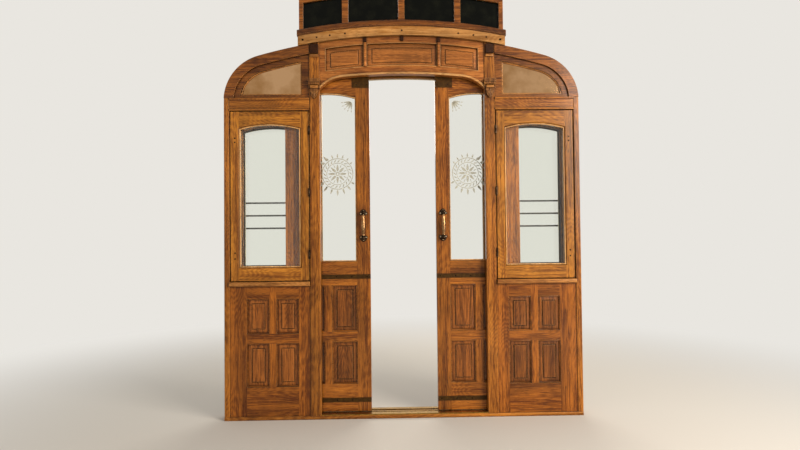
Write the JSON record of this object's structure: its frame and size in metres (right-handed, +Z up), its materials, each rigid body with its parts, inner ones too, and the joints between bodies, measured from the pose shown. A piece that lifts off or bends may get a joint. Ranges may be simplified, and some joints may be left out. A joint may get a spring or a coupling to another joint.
{
  "type": "tram saloon end partition with sliding doors",
  "caption": "Varnished oak tramcar saloon end partition with glazed sliding door leaves, hinged side sashes, an arched panelled fascia and clerestory end lights.",
  "frame": {"origin": "middle of the underside of the floor sill, in the plane of the sliding leaves", "axes": "+X to the right as seen from the saloon, +Y away from the saloon, +Z up"},
  "size_m": [2.04, 0.172, 2.5059],
  "materials": {
    "oak": "varnished",
    "oak_panel": "varnished",
    "oak_light": "varnished",
    "cream_paint": "gloss paint",
    "glass": "clear",
    "dark_glass": "dark tinted",
    "mirror": "silvered",
    "brass": "worn",
    "dark_bronze": "dark patina"
  },
  "bodies": {
    "partition": {"carline": "oak_light", "carline_brackets": "dark_bronze", "carline_cap": "oak", "clerestory_frame": "oak", "clerestory_panes": "dark_glass", "corbels": "oak", "corner_post_left": "oak", "corner_post_right": "oak", "dado_frame_left": "oak", "dado_frame_right": "oak", "dado_panels_left": "oak_panel", "dado_panels_right": "oak_panel", "door_post_left": "oak", "door_post_right": "oak", "fanlight_frame_left": "oak", "fanlight_frame_right": "oak", "fanlight_mirror_left": "mirror", "fanlight_mirror_right": "mirror", "fascia_frame": "oak", "fascia_panels": "oak_panel", "floor_sill": "oak", "guard_rails_left": "dark_bronze", "guard_rails_right": "dark_bronze", "platform_glass_left": "glass", "platform_glass_right": "glass", "platform_header": "cream_paint", "platform_wall_left": "cream_paint", "platform_wall_right": "cream_paint", "post_hinges": "dark_bronze", "quadrant_rib_left": "oak", "quadrant_rib_right": "oak", "threshold": "brass", "transom_rail_left": "oak", "transom_rail_right": "oak", "window_sill_left": "oak", "window_sill_right": "oak"},
    "door_left": {"door_frame_left": "oak", "door_panels_left": "oak_panel", "door_glass_left": "glass", "door_strips_left": "dark_bronze", "door_guides_left": "dark_bronze", "door_handles_left": "brass"},
    "sash_left": {"sash_frame_left": "oak", "sash_glass_left": "glass", "sash_hinges_left": "dark_bronze"},
    "door_right": {"door_frame_right": "oak", "door_panels_right": "oak_panel", "door_glass_right": "glass", "door_strips_right": "dark_bronze", "door_guides_right": "dark_bronze", "door_handles_right": "brass"},
    "sash_right": {"sash_frame_right": "oak", "sash_glass_right": "glass", "sash_hinges_right": "dark_bronze"}
  },
  "joints": [
    {"name": "door_slide_left", "type": "slide", "parent": "partition", "child": "door_left", "axis": [-1, 0, 0], "range_m": [-0.189, 0.215]},
    {"name": "sash_hinge_left", "type": "hinge", "parent": "partition", "child": "sash_left", "pos_m": [-0.5365, -0.0705, 0], "axis": [0, 0, 1], "range_deg": [0, 95]},
    {"name": "door_slide_right", "type": "slide", "parent": "partition", "child": "door_right", "axis": [1, 0, 0], "range_m": [-0.189, 0.215]},
    {"name": "sash_hinge_right", "type": "hinge", "parent": "partition", "child": "sash_right", "pos_m": [0.5365, -0.0705, 0], "axis": [0, 0, -1], "range_deg": [0, 95]}
  ]
}
